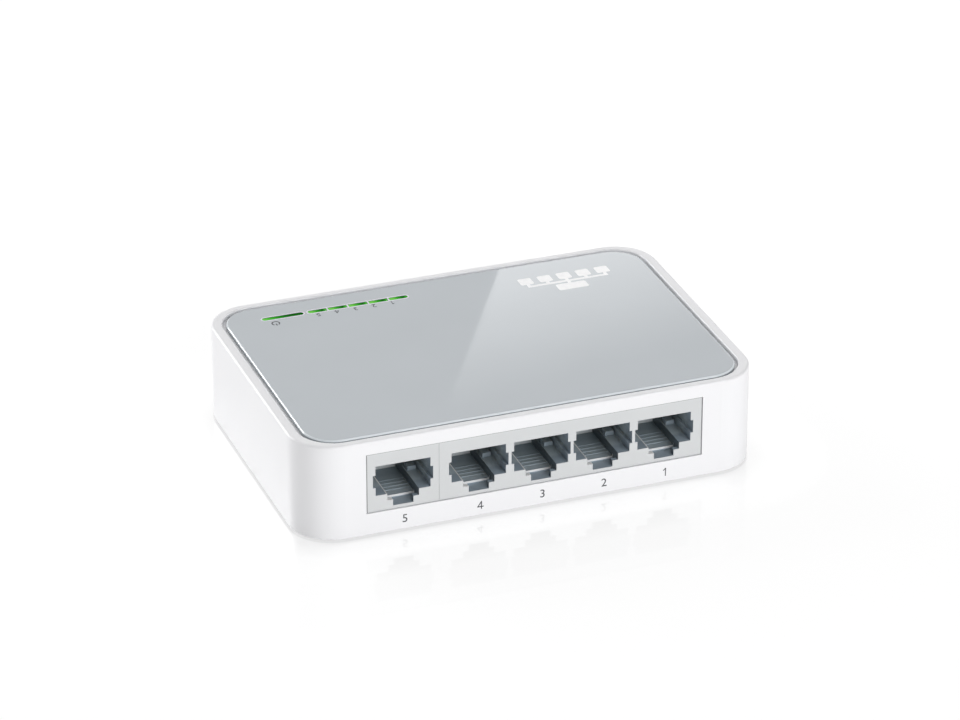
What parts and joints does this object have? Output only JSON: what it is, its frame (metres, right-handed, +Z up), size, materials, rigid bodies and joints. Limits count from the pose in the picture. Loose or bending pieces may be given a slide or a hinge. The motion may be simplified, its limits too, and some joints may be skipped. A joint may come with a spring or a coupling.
{
  "type": "desktop network switch",
  "caption": "Low rounded white casing with a recessed grey top panel, a row of stepped modular sockets in one long side and a line of green indicators along the other.",
  "frame": {"origin": "centre of the footprint, on the plane that the rubber feet stand on", "axes": "+X along the side with the ports, from port 5 to port 1; -Y out of the ports; +Z up"},
  "size_m": [0.1036, 0.07, 0.0225],
  "materials": {
    "white_shell": "satin white ABS",
    "grey_panel": "polished light grey",
    "port_plastic": "light grey moulding, darker inside the ports",
    "carrier_plastic": "light grey insert",
    "green_light_pipe": "translucent, lit green",
    "grey_rubber": "soft matte",
    "label_film": "printed film with no text",
    "screw_steel": "zinc plated",
    "black_nylon": "fine moulded texture",
    "led_package": "clear resin lens",
    "board_laminate": "green solder mask",
    "chip_resin": "moulded resin",
    "tinned_leads": "tinned",
    "can_aluminium": "drawn can",
    "crystal_steel": "stamped can",
    "ferrite": "ferrite powder",
    "resistor_ceramic": "glazed chip",
    "capacitor_ceramic": "ceramic chip",
    "contact_nickel": "nickel plated",
    "contact_gold": "gold flash"
  },
  "bodies": {
    "casing": {"upper_housing": "white_shell", "top_panel": "grey_panel", "base_cover": "white_shell", "rubber_feet": "grey_rubber", "rating_label": "label_film", "housing_screws": "screw_steel", "board_screws": "screw_steel", "light_pipe_power": "green_light_pipe", "light_pipe_port_1": "green_light_pipe", "light_pipe_port_2": "green_light_pipe", "light_pipe_port_3": "green_light_pipe", "light_pipe_port_4": "green_light_pipe", "light_pipe_port_5": "green_light_pipe", "led_baffle": "black_nylon", "indicator_leds": "led_package", "port_block_quad": "port_plastic", "port_block_single": "port_plastic", "contact_carriers": "carrier_plastic", "port_1_contact_pins": "contact_gold", "port_2_contact_pins": "contact_gold", "port_3_contact_pins": "contact_gold", "port_4_contact_pins": "contact_gold", "port_5_contact_pins": "contact_gold", "main_board": "board_laminate", "switch_chip": "chip_resin", "switch_chip_leads": "tinned_leads", "transformer_quad": "chip_resin", "transformer_single": "chip_resin", "transformer_leads": "tinned_leads", "capacitor_cans": "can_aluminium", "capacitor_bases": "black_nylon", "crystal_can": "crystal_steel", "power_inductor": "ferrite", "voltage_regulator": "chip_resin", "voltage_regulator_leads": "tinned_leads", "chip_resistors": "resistor_ceramic", "chip_capacitors": "capacitor_ceramic", "inlet_housing": "black_nylon", "inlet_pin": "contact_nickel", "inlet_terminals": "contact_nickel"},
    "port_1_contacts": {"port_1_contact_springs": "contact_gold"},
    "port_2_contacts": {"port_2_contact_springs": "contact_gold"},
    "port_3_contacts": {"port_3_contact_springs": "contact_gold"},
    "port_4_contacts": {"port_4_contact_springs": "contact_gold"},
    "port_5_contacts": {"port_5_contact_springs": "contact_gold"},
    "inlet_spring": {"inlet_leaf_spring": "contact_nickel"}
  },
  "joints": [
    {"name": "port_1_contact_press", "type": "hinge", "parent": "casing", "child": "port_1_contacts", "pos_m": [0.02927, -0.0323, 0.01695], "axis": [1, 0, 0], "range_deg": [0, 14], "stiffness_Nm_per_rad": 0.2, "springref_deg": -5.73},
    {"name": "port_2_contact_press", "type": "hinge", "parent": "casing", "child": "port_2_contacts", "pos_m": [0.0153, -0.0323, 0.01695], "axis": [1, 0, 0], "range_deg": [0, 14], "stiffness_Nm_per_rad": 0.2, "springref_deg": -5.73},
    {"name": "port_3_contact_press", "type": "hinge", "parent": "casing", "child": "port_3_contacts", "pos_m": [0.00133, -0.0323, 0.01695], "axis": [1, 0, 0], "range_deg": [0, 14], "stiffness_Nm_per_rad": 0.2, "springref_deg": -5.73},
    {"name": "port_4_contact_press", "type": "hinge", "parent": "casing", "child": "port_4_contacts", "pos_m": [-0.01264, -0.0323, 0.01695], "axis": [1, 0, 0], "range_deg": [0, 14], "stiffness_Nm_per_rad": 0.2, "springref_deg": -5.73},
    {"name": "port_5_contact_press", "type": "hinge", "parent": "casing", "child": "port_5_contacts", "pos_m": [-0.02945, -0.0323, 0.01695], "axis": [1, 0, 0], "range_deg": [0, 14], "stiffness_Nm_per_rad": 0.2, "springref_deg": -5.73},
    {"name": "inlet_spring_press", "type": "hinge", "parent": "casing", "child": "inlet_spring", "pos_m": [0.0429, 0.014, 0.008], "axis": [0, 1, 0], "range_deg": [0, 6], "stiffness_Nm_per_rad": 0.3, "springref_deg": -2.86}
  ]
}
